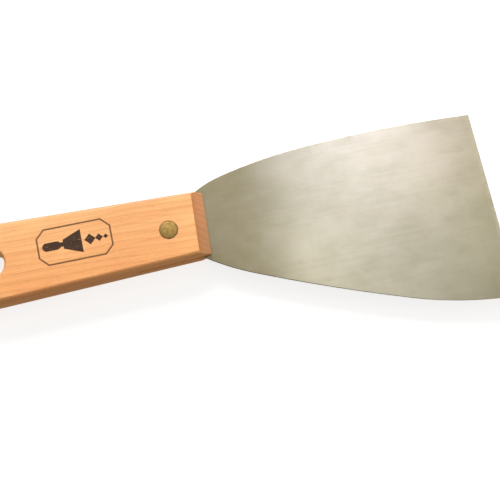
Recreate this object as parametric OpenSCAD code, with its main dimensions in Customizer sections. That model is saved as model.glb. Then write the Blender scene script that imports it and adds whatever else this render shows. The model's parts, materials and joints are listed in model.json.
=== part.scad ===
// Riveted putty knife (filling knife): taper-ground flared steel blade in a sawn
// kerf of a one-piece beech handle, held by one two-part brass cutler's rivet.
// Millimetres. Origin: centre of the hanging hole, mid-thickness of the handle.
// +X towards the working edge, +Z out of the face that carries the socket head.

/* [Handle] */
// centre of the hanging hole to the front end of the wood
handle_reach = 88.6; // [80:0.1:110]
// width of the wood at its front end
front_w = 25.9; // [24:0.1:28]
// radius of the rounded butt, centred on the hanging hole
butt_r = 16.15; // [15:0.05:18]
// thickness of the wood
handle_t = 14.6; // [13:0.1:18]
// rounding along the long edges; the butt's is a little larger
edge_r = 1.9; // [0.5:0.1:3]
// length of the bevel on the front end
bevel_len = 4.9; // [3:0.1:7]
// square land left between the bevel and the blade, each side
bevel_land = 1.3; // [0.8:0.1:2.5]
// skew of the wood's front end from square, in degrees
front_skew = 2.8; // [0:0.1:4]

/* [Hanging hole] */
// radius of the hanging hole
hole_r = 6; // [3:0.05:7]
// chamfer on both rims of the hanging hole
hole_chamfer = 0.75; // [0.3:0.05:1.5]

/* [Blade] */
// wood front to the working edge, on the handle's centreline
blade_len = 116.9; // [110:0.1:122]
// blade thickness in the kerf
neck_t = 1.3; // [1:0.05:1.8]
// blade thickness at the end of the taper, just past the working edge
edge_t = 0.6; // [0.4:0.05:0.9]
// skew of the working edge from square, in degrees
edge_skew = 0.9; // [0:0.1:2]
// half width of the tang inside the kerf
tang_half_w = 11.2; // [9:0.1:11.5]
// length of the tang behind the wood's front end
tang_len = 26.5; // [24:0.5:32]

/* [Rivet] */
// rivet centre behind the wood's front end
rivet_back = 15.8; // [13:0.1:18]
// rivet centre off the handle's centreline
rivet_off = -1.0; // [-1.5:0.1:1.5]
// radius of both rivet heads
head_r = 3.65; // [3:0.05:4.5]
// thickness of the sunk part of each head
head_t = 1.3; // [1:0.1:1.8]
// rise of the head's low dome above the wood
dome_h = 0.35; // [0.2:0.05:0.5]
// outside radius of the socket barrel
barrel_r = 2.5; // [2.2:0.05:2.7]
// radius of the solid shank pressed into the barrel
shank_r = 1.6; // [1.3:0.05:1.7]

/* [Kerf] */
// depth of the sawn kerf at its deepest, on the centreline
kerf_depth = 31.5; // [29:0.5:36]
// radius of the saw that cuts the kerf
saw_r = 110; // [90:1:150]

/* [Hidden] */
$fn = 96;
over = 1;                // cutters and clipping shapes run past the surface by this much

// Main places
front_x = handle_reach;  // wood's front end
edge_x = front_x + blade_len;  // working edge on the centreline
rivet_x = front_x - rivet_back;
half_t = handle_t / 2;

// Front bevel
land_z = neck_t / 2 + bevel_land;  // half thickness of the wood at its very front
bevel_lead = 1;          // the bevel's cutter runs on past the face by this length
bevel_top_z = half_t + bevel_lead * (half_t - land_z) / bevel_len;
front_clear = 12;        // reach of the bevel's cutter ahead of the wood

// Sides and butt
// lean of each long side, a line tangent to the circle butt_r about the hanging hole
side_lean = asin(butt_r / norm([front_x, front_w / 2])) - atan2(front_w / 2, front_x);
tangent_x = butt_r * sin(side_lean);
butt_ease = 0.3;         // butt arc stands this far outside the sides' tangent circle
butt_edge_r = edge_r + 0.2;  // the butt's edges are sanded a little rounder than the sides'
run_out = 0.05;          // edge roundings run out through the flat faces at a definite angle
blank_back = 2;          // spare wood on the blank behind the butt,
blank_front = 4;         // ahead of the front end
blank_side = 3;          // and at each side

// Blade
grind_start = 6.7;       // wood's front end to the start of the taper
grind_past = 4;          // the taper's section runs past the working edge
tang_lap = 4;            // the tang runs this far into the blade's outline
side_back = 12;          // the side outlines start this far behind the wood's front end
side_past = 8;           // and stop this far past the working edge
side_h = 80;             // height of the box that clips a side outline
window_h = 90;           // height of the boxes that divide one arc from the next

// The blade's sides, upper (+Y) and lower (-Y, mirrored up): chains of tangent arcs,
// x from the wood's front end, y from the centreline.
// main arc: [apex x, apex y, radius]
// inner arcs, towards the tang: [join x, radius], the one next to the main arc first
// outer arcs, towards the working corner: [join x, radius], one or none
up_main = [79.5, 25.4, 552];
up_inner = [[44.3, 201], [7.9, 39.6]];
up_outer = [];
lo_main = [318.9, 86.65, 765.7];
lo_inner = [[15.1, 110], [-0.8, 60]];
lo_outer = [[74.8, 157.4]];

// Rivet fit
barrel_gap = 0.3;        // barrel's open end to the pin's head
bore_floor = 1.5;        // solid metal between the bore and the socket's head
shank_root = 0.1;        // the shank starts this far inside the pin's head
shank_less = 3;          // shank's length less than the distance between the heads

// point of a circle above the given x
function on_arc(centre, radius, x) =
  [x, centre[1] + sqrt(radius * radius - (x - centre[0]) * (x - centre[0]))];
// centre of the arc of new_radius that touches a circle from inside at x
function touch(centre, radius, x, new_radius) =
  centre + (radius - new_radius) / radius * (on_arc(centre, radius, x) - centre);

// box that covers everything on the working edge's side of x
module edgeward(x) {
  translate([x, -over]) square([blade_len, window_h]);
}

// Half of the blade's outline that lies above the centreline
module side_2d(main, inner, outer) {
  main_r = main[2];
  near = inner[0];
  tail = inner[1];
  main_c = [main[0], main[1] - main_r];
  near_c = touch(main_c, main_r, near[0], near[1]);
  tail_c = touch(near_c, near[1], tail[0], tail[1]);
  intersection() {
    translate([-side_back, 0]) square([blade_len + side_back + side_past, side_h]);
    translate(main_c) circle(r = main_r, $fn = 720);
    union() {
      edgeward(near[0]);
      intersection() {
        translate(near_c) circle(r = near[1], $fn = 360);
        union() {
          edgeward(tail[0]);
          translate(tail_c) circle(r = tail[1], $fn = 180);
        }
      }
    }
    if (len(outer) > 0) union() {
      outer_c = touch(main_c, main_r, outer[0][0], outer[0][1]);
      translate([outer[0][0] - 200, -over]) square([200, window_h]);
      translate(outer_c) circle(r = outer[0][1], $fn = 360);
    }
  }
}

module blade_outline() {
  intersection() {
    translate([front_x, 0]) union() {
      side_2d(up_main, up_inner, up_outer);
      mirror([0, 1]) side_2d(lo_main, lo_inner, lo_outer);
      translate([-tang_len, -tang_half_w]) square([tang_len + tang_lap, 2 * tang_half_w]);
    }
    // skewed working edge
    translate([edge_x, 0]) rotate(edge_skew) translate([-300, -150]) square([300, 300]);
  }
}

module blade() {
  grind_x = front_x + grind_start;
  end_x = edge_x + grind_past;
  color([0.69, 0.68, 0.62])
  difference() {
    intersection() {
      translate([0, 0, -neck_t]) linear_extrude(2 * neck_t) blade_outline();
      // flat tang and neck, then ground to a taper on both faces
      translate([0, 150, 0]) rotate([90, 0, 0]) linear_extrude(300)
        polygon([[0, neck_t / 2], [grind_x, neck_t / 2], [end_x, edge_t / 2],
                 [end_x, -edge_t / 2], [grind_x, -neck_t / 2], [0, -neck_t / 2]]);
    }
    translate([rivet_x, rivet_off, -neck_t]) cylinder(r = barrel_r, h = 2 * neck_t);
  }
}

// Section of what is cut away outside a side of the handle, leaving both its edges
// round. First axis runs outwards from the side, second axis is z.
module side_cut_2d(radius) {
  round_z = half_t - radius + run_out;
  difference() {
    translate([-radius, -half_t - over]) square([radius + 15, handle_t + 2 * over]);
    translate([-radius - 2, -round_z]) square([radius + 2, 2 * round_z]);
    for (s = [-1, 1]) translate([-radius, s * round_z]) circle(r = radius);
  }
}

// sawn and sanded blank: tapered sides running into a round butt
module handle_blank() {
  difference() {
    translate([-butt_r - blank_back, -butt_r - blank_side, -half_t])
      cube([front_x + butt_r + blank_back + blank_front, 2 * (butt_r + blank_side), handle_t]);
    for (s = [0, 1]) mirror([0, s, 0])
      rotate([0, 0, -side_lean]) translate([-40, butt_r, 0])
        rotate([90, 0, 90]) linear_extrude(front_x + 60) side_cut_2d(edge_r);
    // butt, only behind the points where the sides begin
    intersection() {
      rotate_extrude($fn = 180) translate([butt_r + butt_ease, 0]) side_cut_2d(butt_edge_r);
      translate([-60, -60, -30]) cube([60 + tangent_x, 120, 60]);
    }
  }
}

module handle() {
  bevel_x = -bevel_len - bevel_lead;
  color([0.86, 0.62, 0.40])
  difference() {
    handle_blank();
    // front end, cut off a little out of square and bevelled on both faces
    translate([front_x, 0, 0]) rotate([0, 0, -front_skew])
      translate([0, 40, 0]) rotate([90, 0, 0]) linear_extrude(80)
        polygon([[bevel_x, bevel_top_z], [0, land_z], [0, -land_z], [bevel_x, -bevel_top_z],
                 [front_clear, -bevel_top_z], [front_clear, bevel_top_z]]);
    for (s = [0, 1]) mirror([0, 0, s]) {
      // rim chamfer of the hanging hole
      translate([0, 0, half_t - hole_chamfer])
        cylinder(r1 = hole_r, r2 = hole_r + hole_chamfer + over, h = hole_chamfer + over);
      // seat of the rivet head
      translate([rivet_x, rivet_off, half_t - head_t]) cylinder(r = head_r, h = head_t + over);
    }
    translate([0, 0, -half_t - over]) cylinder(r = hole_r, h = handle_t + 2 * over);
    translate([rivet_x, rivet_off, -half_t]) cylinder(r = barrel_r, h = handle_t);
    // kerf with the curved bottom a circular saw leaves
    translate([front_x - kerf_depth + saw_r, 0, -neck_t / 2])
      cylinder(r = saw_r, h = neck_t, $fn = 360);
  }
}

// rivet head lying in its seat, outer face towards +Z, with a low dome
module rivet_head() {
  dome_r = (head_r * head_r + dome_h * dome_h) / (2 * dome_h);
  translate([0, 0, half_t - head_t]) cylinder(r = head_r, h = head_t);
  intersection() {
    translate([0, 0, half_t]) cylinder(r = head_r, h = dome_h + over);
    translate([0, 0, half_t + dome_h - dome_r]) sphere(r = dome_r, $fn = 180);
  }
}

// +Z part of the rivet: head and hollow barrel
module rivet_socket() {
  color([0.72, 0.58, 0.30])
  translate([rivet_x, rivet_off, 0]) difference() {
    union() {
      rivet_head();
      translate([0, 0, -half_t + head_t + barrel_gap])
        cylinder(r = barrel_r, h = handle_t - 2 * head_t - barrel_gap);
    }
    translate([0, 0, -half_t]) cylinder(r = shank_r, h = handle_t - head_t - bore_floor);
  }
}

// -Z part of the rivet: head and solid shank pressed into the barrel
module rivet_pin() {
  color([0.68, 0.54, 0.27])
  translate([rivet_x, rivet_off, 0]) union() {
    mirror([0, 0, 1]) rivet_head();
    translate([0, 0, -half_t + head_t - shank_root])
      cylinder(r = shank_r, h = handle_t - 2 * head_t - shank_less);
  }
}

blade();
handle();
rivet_socket();
rivet_pin();
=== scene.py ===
"""A scraper: beech handle, ground steel blade and a two-part brass rivet.

It lies flat with its length along X. The blade's working edge is at +X, the hanging
hole goes through the handle, and the broad faces look along +Z and -Z.
The CAD pieces get small edge breaks and procedural materials.
Places and sizes in capitals are millimetres unless noted.
"""
import json
import math

import bmesh
import bpy
from mathutils import Matrix, Vector


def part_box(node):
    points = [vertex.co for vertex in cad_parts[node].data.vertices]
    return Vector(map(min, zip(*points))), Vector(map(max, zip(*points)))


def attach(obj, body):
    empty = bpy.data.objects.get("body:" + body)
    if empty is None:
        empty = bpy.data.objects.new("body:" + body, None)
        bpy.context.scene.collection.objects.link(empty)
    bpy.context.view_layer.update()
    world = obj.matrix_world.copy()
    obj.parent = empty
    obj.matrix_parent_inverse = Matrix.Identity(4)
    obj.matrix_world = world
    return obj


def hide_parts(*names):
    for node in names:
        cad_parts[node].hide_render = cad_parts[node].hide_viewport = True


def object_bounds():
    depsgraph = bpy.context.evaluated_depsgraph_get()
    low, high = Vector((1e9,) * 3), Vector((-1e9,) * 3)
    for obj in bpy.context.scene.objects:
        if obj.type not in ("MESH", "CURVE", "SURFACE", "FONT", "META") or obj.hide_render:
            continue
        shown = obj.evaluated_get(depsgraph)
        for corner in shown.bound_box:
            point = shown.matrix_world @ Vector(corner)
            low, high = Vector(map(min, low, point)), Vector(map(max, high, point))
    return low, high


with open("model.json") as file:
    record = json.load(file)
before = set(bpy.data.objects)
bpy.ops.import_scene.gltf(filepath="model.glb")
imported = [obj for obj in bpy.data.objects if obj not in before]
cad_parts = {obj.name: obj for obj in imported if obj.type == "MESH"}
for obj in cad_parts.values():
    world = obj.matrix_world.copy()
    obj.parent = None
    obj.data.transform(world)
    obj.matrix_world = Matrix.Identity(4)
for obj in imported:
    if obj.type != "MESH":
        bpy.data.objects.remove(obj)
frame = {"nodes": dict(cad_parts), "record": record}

scene = bpy.context.scene
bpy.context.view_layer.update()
MM = 0.001

# ---------------------------------------------------------------- places on the CAD pieces
socket_low, socket_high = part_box("rivet_socket")
RIVET_X = (socket_low.x + socket_high.x) / 2 / MM
RIVET_Y = (socket_low.y + socket_high.y) / 2 / MM
HEAD_R = (socket_high.x - socket_low.x) / 2 / MM
EDGE_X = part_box("blade")[1].x / MM         # the blade's working edge
FRONT_X = RIVET_X + 15.8                   # the wood's +X end, on the handle's centreline
FRONT_LEAN = 0.0489                        # how far that end leans in X per mm of Y
VIEW_X = RIVET_X + 16.5                    # the point the camera is placed from
MARK_X, MARK_Y = VIEW_X - 54.3, 1.8        # centre of the printed mark
hole = frame["record"]["mounts"][0]
HOLE_X, HOLE_Y = hole["pos_m"][0] / MM, hole["pos_m"][1] / MM
HOLE_R = hole["dims"]["r_mm"]


# ---------------------------------------------------------------- node graphs written as sums
def feed(node, values):
    """Link or set inputs, given as {input name or index: value}."""
    for key, value in values.items():
        if isinstance(value, Field):
            value.graph.tree.links.new(value.socket, node.inputs[key])
        else:
            node.inputs[key].default_value = value


def srgb(*rgb):
    """Linear RGBA from red, green and blue of 0 to 255."""
    return tuple(((c / 255 + 0.055) / 1.055) ** 2.4 if c > 10 else c / 255 / 12.92
                 for c in rgb) + (1.0,)


class Graph:
    """Adds nodes to one tree and hands back their outputs as Fields."""

    def __init__(self, tree):
        self.tree = tree

    def node(self, kind, output=0, inputs=None, **settings):
        node = self.tree.nodes.new(kind)
        for key, value in settings.items():
            setattr(node, key, value)
        feed(node, inputs or {})
        return Field(self, node.outputs[output])

    def math(self, operation, *values, clamp=False):
        return self.node("ShaderNodeMath", inputs=dict(enumerate(values)),
                         operation=operation, use_clamp=clamp)

    def xyz(self, *parts):
        return self.node("ShaderNodeCombineXYZ", inputs=dict(enumerate(parts)))

    def axes(self, kind, output):
        """The X, Y and Z fields of a vector output."""
        vector = self.node(kind, output)
        split = self.tree.nodes.new("ShaderNodeSeparateXYZ")
        feed(split, {0: vector})
        return [Field(self, part) for part in split.outputs]

    def normal(self):
        return self.axes("ShaderNodeNewGeometry", "Normal")

    def noise(self, *place, detail=2.0, rough=0.5, distort=0.0):
        return self.node("ShaderNodeTexNoise", "Fac", {
            "Vector": self.xyz(*place), "Scale": 1.0, "Detail": detail,
            "Roughness": rough, "Distortion": distort})

    def voronoi(self, *place):
        return self.node("ShaderNodeTexVoronoi", "Distance",
                         {"Vector": self.xyz(*place), "Scale": 1.0})

    def mix(self, amount, first, second, mode="MIX"):
        # a Mix node has its colours at inputs 6 and 7 and its colour result at output 2
        return self.node("ShaderNodeMix", 2, data_type="RGBA", blend_type=mode,
                         clamp_factor=True) .fed({0: amount, 6: first, 7: second})


class Field:
    """A node output that can be used in arithmetic."""

    def __init__(self, graph, socket):
        self.graph, self.socket = graph, socket

    def fed(self, values):
        feed(self.socket.node, values)
        return self

    def __add__(self, other): return self.graph.math("ADD", self, other)
    def __radd__(self, other): return self.graph.math("ADD", other, self)
    def __sub__(self, other): return self.graph.math("SUBTRACT", self, other)
    def __rsub__(self, other): return self.graph.math("SUBTRACT", other, self)
    def __mul__(self, other): return self.graph.math("MULTIPLY", self, other)
    def __rmul__(self, other): return self.graph.math("MULTIPLY", other, self)
    def __truediv__(self, other): return self.graph.math("DIVIDE", self, other)
    def abs(self): return self.graph.math("ABSOLUTE", self)
    def max(self, other): return self.graph.math("MAXIMUM", self, other)
    def min(self, other): return self.graph.math("MINIMUM", self, other)
    def sqrt(self): return self.graph.math("SQRT", self)
    def fract(self): return self.graph.math("FRACT", self)
    def clamp(self): return self.graph.math("ADD", self, 0.0, clamp=True)

    def ramp(self, start, end, low=0.0, high=1.0):
        """Smooth step from low at start to high at end; start may be the larger."""
        return self.graph.node("ShaderNodeMapRange", interpolation_type="SMOOTHSTEP",
                               inputs=dict(enumerate((self, start, end, low, high))))

    def paint(self, *layers):
        """Lay colours over this one; each layer is (amount, sRGB colour)."""
        colour = self
        for amount, rgb in layers:
            colour = self.graph.mix(amount, colour, srgb(*rgb))
        return colour

    def multiply(self, amount, tint):
        return self.graph.mix(amount, self, tint, "MULTIPLY")


def hypot(across, up):
    return (across * across + up * up).sqrt()


def distance(x, y, centre_x, centre_y):
    return ((x - centre_x) * (x - centre_x) + (y - centre_y) * (y - centre_y)).sqrt()


def principled(material):
    material.use_nodes = True
    return next(n for n in material.node_tree.nodes if n.type == "BSDF_PRINCIPLED")


def new_material(name):
    """The material, its shader, its graph, and the place on the object in mm."""
    material = bpy.data.materials.new(name)
    shader = principled(material)
    graph = Graph(material.node_tree)
    place = [axis * 1000.0 for axis in graph.axes("ShaderNodeTexCoord", "Object")]
    return material, shader, graph, place


def finish_shader(shader, colour, rough, height, bump_depth, bump_strength, **inputs):
    """bump_depth is in metres."""
    bump = Field.fed(height.graph.node("ShaderNodeBump"), {
        "Strength": bump_strength, "Distance": bump_depth, "Height": height})
    feed(shader, {"Base Color": colour, "Roughness": rough.clamp(), "Normal": bump, **inputs})


# How to read the materials:
#   noise(x * a, y * b, z * c): a small factor stretches the pattern along that axis;
#       added numbers and plain constants only pick another part of the pattern.
#   field.ramp(start, end) makes a mask of 0 to 1; the factor after it is its strength.
#   (noise - 0.5) * n swings a value by up to n / 2 either way.

# ---------------------------------------------------------------- printed mark on the handle
def mark_mask(x, y):
    """Clipped-corner outline round a scraper silhouette and three diamonds: 1 in the ink."""
    diagonal = 0.7071                       # turns a sum of two sides into a distance
    line = 0.34                             # half the outline's width
    soft = 0.10                             # half the blur of an ink edge
    along, across = x - MARK_X, y - MARK_Y
    far_along, far_across = along.abs(), across.abs()
    # half length, half height, and the distance of the clipped corners from the centre
    plate = (far_along - 15.2).max(far_across - 7.7)
    plate = plate.max((far_along + far_across) * diagonal - 13.7)
    outline = (plate + line).abs() - line
    # round-ended grip: middle, half length between the round ends, radius
    past_grip = ((along + 9.3).abs() - 2.1).max(0.0)
    grip = hypot(past_grip, across) - 1.75
    # narrow neck: half width, middle, half length
    neck = (far_across - 0.95).max((along + 5.3).abs() - 0.8)
    # blade from -4.6 to 2.9, its half width growing from 1.9 by 0.40 per mm
    blade = (far_across - (1.9 + (along + 4.6) * 0.40))
    blade = blade.max(along - 2.9).max(-1.0 * along - 4.6)
    ink = grip.min(neck).min(blade)
    for middle, half in ((6.2, 2.3), (9.9, 1.6), (12.6, 1.0)):
        ink = ink.min(((along - middle).abs() + far_across - half) * diagonal)
    outline_strength = 0.84
    return ink.ramp(soft, -soft).max(outline.ramp(soft, -soft) * outline_strength)


# ---------------------------------------------------------------- beech
def make_beech():
    material, shader, graph, (x, y, z) = new_material("beech_lacquered")
    normal_x, normal_y, normal_z = graph.normal()
    noise, mix = graph.noise, graph.mix

    # growth rings run along X, round an axis 58 mm off in Y and 34 mm off in Z,
    # with a slow drift, a quicker waver and an uneven spacing near 2.35 mm
    drift = noise(x * 0.012, y * 0.05, z * 0.05)
    waver = noise(x * 0.035 + 7.1, y * 0.22, z * 0.22, detail=3.0, rough=0.55)
    ring_y = y + 58.0 + x * 0.030 + (drift - 0.5) * 9.0 + (waver - 0.5) * 1.6
    ring_z = z - 34.0
    radius = hypot(ring_y, ring_z)
    ring = radius / 2.35 + (noise(radius * 0.33, 3.7, 1.9) - 0.5) * 1.7
    season = ring.fract()
    late = season.ramp(0.30, 0.95) * season.ramp(1.0, 0.93)   # late wood: slow rise, sharp end
    # fibres, fine streaks, and two sizes of short dark ray flecks
    fibre = noise(x * 0.028, y * 2.6, z * 2.6, detail=6.0, rough=0.62)
    streak = noise(x * 0.09 + 31.0, y * 7.5, z * 7.5, detail=4.0, rough=0.6)
    fleck = noise(x * 0.55, y * 6.3 + 9.0, z * 2.1, detail=1.0, rough=0.4).ramp(0.665, 0.74)
    small_fleck = noise(x * 1.3 + 5.0, y * 11.0, z * 4.0, detail=0.0, rough=0.4)
    small_fleck = small_fleck.ramp(0.70, 0.78)
    # broad changes of tone
    tone = noise(x * 0.022 + 2.0, y * 0.07, z * 0.07)
    patch = noise(x * 0.05 + 11.0, y * 0.16 + 4.0, z * 0.16, detail=3.0, rough=0.6)
    band = noise(x * 0.008 + 5.0, y * 0.30 + x * 0.004, z * 0.30)

    colour = mix(tone.ramp(0.32, 0.68), srgb(249, 194, 134), srgb(239, 177, 120)).paint(
        (patch.ramp(0.46, 0.72) * 0.28, (238, 160, 108)),     # ruddy patches
        (band.ramp(0.50, 0.74) * 0.34, (226, 154, 98)),       # darker bands
        (band.ramp(0.46, 0.26) * 0.30, (253, 200, 142)),      # paler bands
        (late * 0.26, (205, 138, 84)),
        (fibre.ramp(0.47, 0.68) * 0.42, (216, 148, 92)),      # dark fibres
        (fibre.ramp(0.52, 0.33) * 0.30, (250, 201, 140)),     # pale fibres
        (streak.ramp(0.55, 0.75) * 0.22, (182, 110, 62)),
        ((fleck * 0.34 + small_fleck * 0.26).clamp(), (150, 86, 46)))
    # painted shade: the wood is darker and redder towards -Y, the side away from the light
    painted_shade_minus_y = (y + (waver - 0.5) * 7.0).ramp(9.0, -11.0)
    colour = colour.multiply(painted_shade_minus_y * 0.62, (0.945, 0.79, 0.65, 1.0))

    # end grain on faces along X: darker, with pores instead of fibres
    end = normal_x.abs().ramp(0.35, 0.80)
    pore = graph.voronoi(x * 0.2, y * 3.4, z * 3.4).ramp(0.30, 0.14)
    behind_front = FRONT_X - x + y * FRONT_LEAN
    end_colour = mix(late * 0.45, srgb(216, 158, 114), srgb(190, 132, 92)).paint(
        (behind_front.ramp(2.6, 4.8) * 0.70, (196, 123, 72)),   # painted shade a little behind the +X end, where the bevel starts
        (behind_front.ramp(2.8, 0.6) * 0.45, (206, 162, 130)),  # painted light close to the +X end
        (pore * 0.30, (158, 98, 62)))
    # painted shade: the end grain is darker towards -Y
    end_shade = mix(y.ramp(10.0, -11.0), (0.97, 0.80, 0.75, 1.0), (0.75, 0.70, 0.66, 1.0))
    end_colour = end_colour.multiply(1.0, end_shade)
    colour = mix(end * 0.80, colour, end_colour)

    # painted shade round the rivet; painted shade round the hanging hole and painted light on
    # the wood inside it
    from_rivet = distance(x, y, RIVET_X, RIVET_Y)
    from_hole = distance(x, y, HOLE_X, HOLE_Y)
    side = normal_y.abs().ramp(0.45, 0.95)
    colour = colour.paint(
        (from_rivet.ramp(HEAD_R + 0.62, HEAD_R + 0.02) * 0.34, (150, 100, 56)),
        (from_hole.ramp(HOLE_R + 1.5, HOLE_R + 0.3) * 0.30, (176, 128, 84)),
        (from_hole.ramp(HOLE_R + 0.25, HOLE_R + 0.05) * 0.75, (255, 232, 186)),
        (side * 0.22, (214, 146, 96)))                        # painted shade: the sides are darker
    # more painted shade on the sides
    colour = colour.multiply(side, (0.89, 0.87, 0.78, 1.0))
    # painted shade in the kerf at mid thickness; pale wear on the long edges, and painted
    # shade on the long edges that face +Y
    kerf = z.abs().ramp(1.15, 0.62) * x.ramp(FRONT_X - 32.6, FRONT_X - 31.8)
    wear = noise(x * 0.16, y * 0.9, z * 0.9, detail=4.0, rough=0.65)
    edge = normal_z.abs().ramp(0.93, 0.80) * normal_z.abs().ramp(0.30, 0.55) * (1.0 - end)
    # the mark, only on the +Z face and slightly worn along the grain
    ink_wear = noise(x * 0.5, y * 2.2, z, detail=4.0, rough=0.6)
    ink = mark_mask(x, y) * normal_z.ramp(0.90, 0.97)
    ink = ink * ink_wear.ramp(0.26, 0.40, low=0.45, high=1.0)
    colour = colour.paint(
        # painted shade in the kerf
        (kerf * 0.22, (120, 78, 48)),
        (edge * wear.ramp(0.42, 0.70) * 0.16, (236, 190, 142)),
        # painted shade on the long edges that face +Y
        (edge * normal_y.ramp(0.02, 0.45) * 0.80, (198, 144, 112)),
        (ink * 0.96, (34, 16, 9)))

    smear = noise(x * 0.05, y * 0.12, z * 0.12, detail=3.0, rough=0.6)
    base_rough = 0.48
    rough = (base_rough + (streak - 0.5) * 0.22 + late * 0.05 + end * 0.18
             + ink * 0.10 + edge * 0.06 + (smear - 0.5) * 0.16)
    # fibres stand up; late wood, flecks, pores and ink sink
    height = (streak * 0.35 + fibre * 0.45 - late * 0.28 - fleck * 0.5
              - pore * end * 0.7 - ink * 0.12)
    finish_shader(shader, colour, rough, height, bump_depth=0.00012, bump_strength=0.65,
                  **{"Metallic": 0.0, "IOR": 1.48, "Specular IOR Level": 0.26})
    return material


# ---------------------------------------------------------------- ground steel
def make_steel():
    material, shader, graph, (x, y, z) = new_material("ground_steel")
    normal_z = graph.normal()[2]
    noise = graph.noise

    # fine lines along X over a fainter grind along Y
    line = noise(x * 0.040, y * 1.9, z * 0.5, detail=1.5, rough=0.55)
    brush = noise(x * 0.016 + 17.0, y * 0.9, z * 0.3, rough=0.55)
    cross = noise(x * 0.6, y * 0.03, z * 0.5 + 4.0, detail=1.0)
    # broad clouding
    cloud = noise(x * 0.030 + 3.0, y * 0.042, 0.4, detail=3.0, rough=0.55, distort=0.3)
    mottle = noise(x * 0.10 + 5.0, y * 0.17, 1.4, detail=3.0, rough=0.55, distort=0.4)
    smudge = noise(x * 0.055, y * 0.075 + 8.0, 2.2, detail=3.0, rough=0.58, distort=0.6)
    # a few hair scratches in two directions, in patches
    hair_a = noise(x * 0.020 + y * 0.004, y * 2.6 - x * 0.32, 6.0, detail=1.0, rough=0.4)
    hair_b = noise(x * 0.030 - y * 0.010 + 3.0, y * 2.2 + x * 0.55, 2.0,
                   detail=1.0, rough=0.4)
    patchy = noise(x * 0.05, y * 0.05, 9.0).ramp(0.48, 0.62)
    scratch = (hair_a.ramp(0.735, 0.775) + hair_b.ramp(0.745, 0.785)).clamp() * patchy
    # brownish near the wood, bright along the working edge, dark on the thin sides
    neck = x.ramp(FRONT_X + 40.7, FRONT_X + 9.7)
    # blotches in the darker, brownish part near the wood
    neck_blotch = noise(x * 0.10, y * 0.09, 0.0)
    worn = x.ramp(EDGE_X - 3.4, EDGE_X - 0.5)
    wear = noise(x * 0.5, y * 0.35, 0.0, detail=3.0, rough=0.6)
    rim = normal_z.abs().ramp(0.75, 0.35)

    clouded = graph.mix(cloud.ramp(0.30, 0.70), srgb(184, 177, 154), srgb(200, 193, 171))
    colour = clouded.paint(
        (mottle.ramp(0.42, 0.72) * 0.30, (208, 203, 188)),    # pale mottling
        (mottle.ramp(0.48, 0.26) * 0.30, (170, 164, 142)),    # dark mottling
        (smudge.ramp(0.50, 0.78) * 0.20, (174, 166, 142)),
        (line.ramp(0.42, 0.66) * 0.08, (214, 209, 194)),
        (brush.ramp(0.46, 0.70) * 0.09, (168, 161, 138)),     # dark brush lines
        (brush.ramp(0.46, 0.26) * 0.07, (214, 209, 194)),     # pale brush lines
        (cross.ramp(0.50, 0.74) * 0.05, (160, 153, 132)),
        (scratch * 0.20, (222, 218, 204)),
        (neck * (0.62 + neck_blotch.ramp(0.35, 0.75) * 0.14), (147, 138, 105)),
        (worn * wear.ramp(0.35, 0.62) * 0.55, (222, 218, 205)),
        (rim * 0.55, (146, 139, 120)))

    base_rough, face_offset, least_rough = 0.245, 0.012, 0.278
    rough = (base_rough + (line - 0.5) * 0.014 + (cloud - 0.5) * 0.05
             + (mottle - 0.5) * 0.04 + smudge.ramp(0.50, 0.80) * 0.03
             + (brush - 0.5) * 0.010 + face_offset - worn * 0.02 + neck * 0.085)
    rough = rough.max(least_rough) + rim * 0.08
    # faint grinding over a slow swell
    grind = noise(x * 0.010 + 2.0, y * 1.5, z * 0.3, detail=1.0)
    swell = noise(x * 0.085 + 5.0, y * 0.16, 1.4, detail=0.0, rough=0.45, distort=0.3)
    finish_shader(shader, colour, rough, grind * 0.015 + swell * 0.7,
                  bump_depth=0.00002, bump_strength=0.30, Metallic=1.0)
    return material


# ---------------------------------------------------------------- dull brass
def make_brass():
    material, shader, graph, (x, y, z) = new_material("dull_brass")
    noise = graph.noise
    radius = hypot(x - RIVET_X, y - RIVET_Y)
    tarnish = noise(x * 0.55, y * 0.55, z * 0.55, detail=5.0, rough=0.62, distort=0.4)
    fine = noise(x * 3.2, y * 3.2, z * 3.2, detail=3.0, rough=0.6)
    turning = noise(radius * 5.0, 0.7, 0.3, detail=3.0, rough=0.6)   # rings round the rivet

    mottled = graph.mix(tarnish.ramp(0.32, 0.68), srgb(176, 148, 90), srgb(150, 125, 74))
    colour = mottled.paint(
        (fine.ramp(0.52, 0.76) * 0.35, (112, 92, 54)),
        (turning.ramp(0.50, 0.72) * 0.16, (190, 164, 104)),
        (radius.ramp(HEAD_R - 0.90, HEAD_R - 0.02) * 0.34, (124, 100, 58)))   # painted shade at the rim of the head
    base_rough = 0.66
    rough = base_rough + (fine - 0.5) * 0.16 + tarnish.ramp(0.45, 0.75) * 0.08
    finish_shader(shader, colour, rough, fine * 0.3 + turning * 0.4 + tarnish * 0.2,
                  bump_depth=0.00003, bump_strength=0.35, Metallic=1.0)
    return material


# ---------------------------------------------------------------- CAD pieces with edge breaks
WELD = 2e-6          # metres: vertices closer than this become one
BROAD_FACE = 6e-5    # square metres: faces above this count as broad flats


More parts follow.
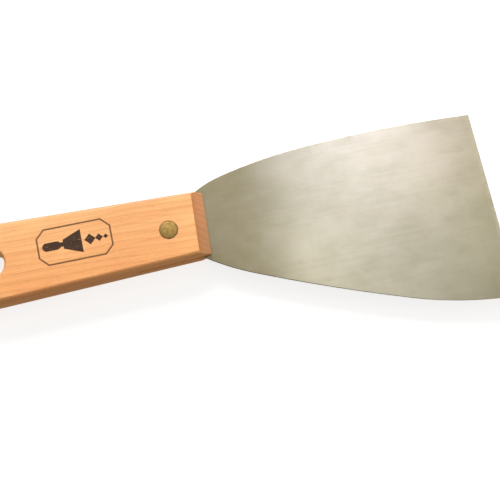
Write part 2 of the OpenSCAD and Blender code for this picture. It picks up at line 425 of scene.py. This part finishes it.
def refine(node, name, material, width, segments, angle, merge=0.25):
    """Rebuild a CAD piece with its edges broken.

    width is the break's width in mm; edges sharper than angle (degrees) are broken,
    and faces within merge (degrees) of flat are joined first.
    """
    source = frame["nodes"][node].data
    mesh = bpy.data.meshes.new(name)
    mesh.from_pydata([tuple(v.co) for v in source.vertices], [],
                     [tuple(p.vertices) for p in source.polygons])
    bm = bmesh.new()
    bm.from_mesh(mesh)
    bmesh.ops.remove_doubles(bm, verts=bm.verts, dist=WELD)
    bmesh.ops.dissolve_limit(bm, angle_limit=math.radians(merge),
                             verts=bm.verts, edges=bm.edges)
    bmesh.ops.recalc_face_normals(bm, faces=bm.faces)
    for face in bm.faces:
        face.smooth = True
    # two broad flats that meet at a shallow ridge keep their own shading
    for edge in bm.edges:
        faces = edge.link_faces
        if len(faces) == 2 and min(face.calc_area() for face in faces) > BROAD_FACE:
            edge.smooth = False
    bm.to_mesh(mesh)
    bm.free()

    piece = bpy.data.objects.new(name, mesh)
    scene.collection.objects.link(piece)
    bevel = piece.modifiers.new("edge_break", "BEVEL")
    bevel.width = width * MM
    bevel.segments = segments
    bevel.limit_method = "ANGLE"
    bevel.angle_limit = math.radians(angle)
    bevel.use_clamp_overlap = True
    bevel.harden_normals = False
    weights = piece.modifiers.new("face_weights", "WEIGHTED_NORMAL")
    weights.keep_sharp = True
    weights.weight = 60
    mesh.materials.append(material)
    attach(piece, "root")
    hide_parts(node)


beech, steel, brass = make_beech(), make_steel(), make_brass()
refine("handle", "handle_wood", beech, width=0.35, segments=3, angle=28)
refine("blade", "blade_plate", steel,
       width=0.10, segments=2, angle=40, merge=0.05)
for rivet_part in ("rivet_socket", "rivet_pin"):
    refine(rivet_part, rivet_part + "_head", brass,
           width=0.18, segments=3, angle=28)


# ---------------------------------------------------------------- floor
def make_floor(half=3.0, gap=2e-5):
    """A pale, faintly glowing square just under the part; sizes in metres."""
    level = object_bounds()[0][2] - gap
    mesh = bpy.data.meshes.new("floor")
    corners = ((-half, -half), (half, -half), (half, half), (-half, half))
    mesh.from_pydata([(x, y, level) for x, y in corners], [], [(0, 1, 2, 3)])
    floor = bpy.data.objects.new("floor", mesh)
    scene.collection.objects.link(floor)
    material = bpy.data.materials.new("floor_pale")
    feed(principled(material), {
        "Base Color": (0.40, 0.40, 0.398, 1), "Roughness": 0.9, "Specular IOR Level": 0.1,
        "Emission Color": (1, 1, 1, 1), "Emission Strength": 0.78})
    # its glow neither lights the part nor shows in the steel
    floor.visible_diffuse = False
    floor.visible_glossy = False
    mesh.materials.append(material)


make_floor()

# ---------------------------------------------------------------- camera
# radians; transposed, this turns the camera's axes into the part's
view_turn = (Matrix.Rotation(0.2139, 3, "Z") @ Matrix.Rotation(-0.2231, 3, "X")
             @ Matrix.Rotation(0.0634, 3, "Y"))
camera_axes = view_turn.transposed()
# mm to the right, up and back from the point at VIEW_X, along the camera's own axes
camera_place = camera_axes @ Vector((16.87, -10.58, 490.7306))
camera_place.x += VIEW_X
camera_data = bpy.data.cameras.new("camera")
camera_data.lens = 86.4
camera_data.sensor_width = 36.0
camera_data.clip_start = 0.01
camera_data.clip_end = 50
camera = bpy.data.objects.new("camera", camera_data)
scene.collection.objects.link(camera)
camera_matrix = camera_axes.to_4x4()
camera_matrix.translation = camera_place * MM
camera.matrix_world = camera_matrix
scene.camera = camera


# ---------------------------------------------------------------- soft studio light
def make_world(strength=0.40):
    """A warm graded sky; the camera itself sees a plain pale backdrop at full strength."""
    world = bpy.data.worlds.new("studio")
    world.use_nodes = True
    scene.world = world
    graph = Graph(world.node_tree)
    background = next(n for n in world.node_tree.nodes if n.type == "BACKGROUND")
    x, y, z = graph.axes("ShaderNodeTexCoord", "Generated")
    sky = graph.mix(z.ramp(-0.25, 0.60), (0.60, 0.53, 0.45, 1), (0.78, 0.74, 0.655, 1))
    # warmer towards -Y
    sky = graph.mix((1.0 - y.ramp(-0.85, 0.45)) * 0.62, sky, (0.78, 0.67, 0.55, 1))
    # low soft glows round the table, mirrored by the blade in views from its sides
    # and from behind
    for aim in ((-1.15, 1.15, 0.78), (1.15, -1.15, 0.44), (1.6, 0.05, 0.30)):
        toward = Vector(aim).normalized()
        glow = (x * toward.x + y * toward.y + z * toward.z).ramp(0.82, 0.975)
        sky = graph.mix(glow, sky, (1.95, 1.90, 1.80, 1))
    seen = graph.node("ShaderNodeLightPath", "Is Camera Ray")
    feed(background, {"Color": graph.mix(seen, sky, (0.96, 0.96, 0.957, 1)),
                      "Strength": seen * (1.0 - strength) + strength})


def area_light(name, place, target, size, power, colour, length_axis=(0, 1, 0)):
    """A rectangle facing target; size is (width, length) in metres, power in watts."""
    light = bpy.data.lights.new(name, "AREA")
    light.shape = "RECTANGLE"
    light.size, light.size_y = size
    light.energy = power
    light.color = colour
    lamp = bpy.data.objects.new(name, light)
    scene.collection.objects.link(lamp)
    axis_z = (Vector(place) - Vector(target)).normalized()
    axis_x = Vector(length_axis).cross(axis_z).normalized()
    axis_y = axis_z.cross(axis_x).normalized()
    matrix = Matrix((axis_x, axis_y, axis_z)).transposed().to_4x4()
    matrix.translation = Vector(place)
    lamp.matrix_world = matrix
    lamp.visible_camera = False


def on_blade(slope):
    """Where a camera ray meets the plane z = 0, and the ray's direction."""
    ray = (camera_axes @ Vector((*slope, -1.0))).normalized()
    start = camera.matrix_world.translation
    return start + ray * (-start.z / ray.z), ray


def mirror_point(slope, reach=0.75):
    """The point a camera ray comes to, reach metres after mirroring in z = 0."""
    point, ray = on_blade(slope)
    return point + Vector((ray.x, ray.y, -ray.z)) * reach


make_world()
middle = Vector((0.09, -0.005, 0.0))
area_light("key", (0.07, 1.10, 0.68), middle, size=(0.8, 0.8), power=26.2,
           colour=(1.0, 0.985, 0.96))
# light thrown back low from the -Y side of the table
area_light("fill", (0.05, -1.0, 0.06), middle, size=(1.2, 0.5), power=1.08,
           colour=(0.95, 0.97, 1.0))

# Graded overhead strips, each placed where the blade mirrors it to the camera.
# name, camera-ray slopes (right, up) to its two ends, width in metres, power, colour
PANELS = (
    ("p0", (0.103333, 0.141667), (0.0875, 0.0708333), 0.075, 0.174, (0.86, 0.88, 1.15)),
    ("p1", (0.0716667, 0.0583333), (0.0433333, 0.00416667), 0.075, 0.035, (0.80, 0.88, 1.0)),
    ("p2", (0.0566667, 0.0), (0.0333333, -0.0666667), 0.075, 0.049, (1.0, 0.97, 0.80)),
    ("p3", (0.158333, 0.141667), (0.1625, 0.0583333), 0.085, 0.0255, (1.0, 0.68, 0.55)),
    ("p4", (0.131667, 0.0416667), (0.121667, -0.0666667), 0.085, 0.0265, (0.68, 0.80, 1.0)),
    ("p5", (0.11, 0.00416667), (0.105, -0.0666667), 0.055, 0.019, (0.95, 0.96, 1.0)),
    ("p7", (0.225, 0.133333), (0.233333, -0.0416667), 0.085, 0.035, (0.95, 1.0, 0.40)),
)
for name, first, last, width, power, colour in PANELS:
    head, tail = mirror_point(first), mirror_point(last)
    target = on_blade((Vector(first) + Vector(last)) / 2)[0]
    area_light(name, (head + tail) / 2, target, (width, (head - tail).length), power,
               colour, length_axis=(head - tail).normalized())

scene.view_settings.view_transform = "Standard"
scene.view_settings.look = "None"
scene.view_settings.exposure = 0.0
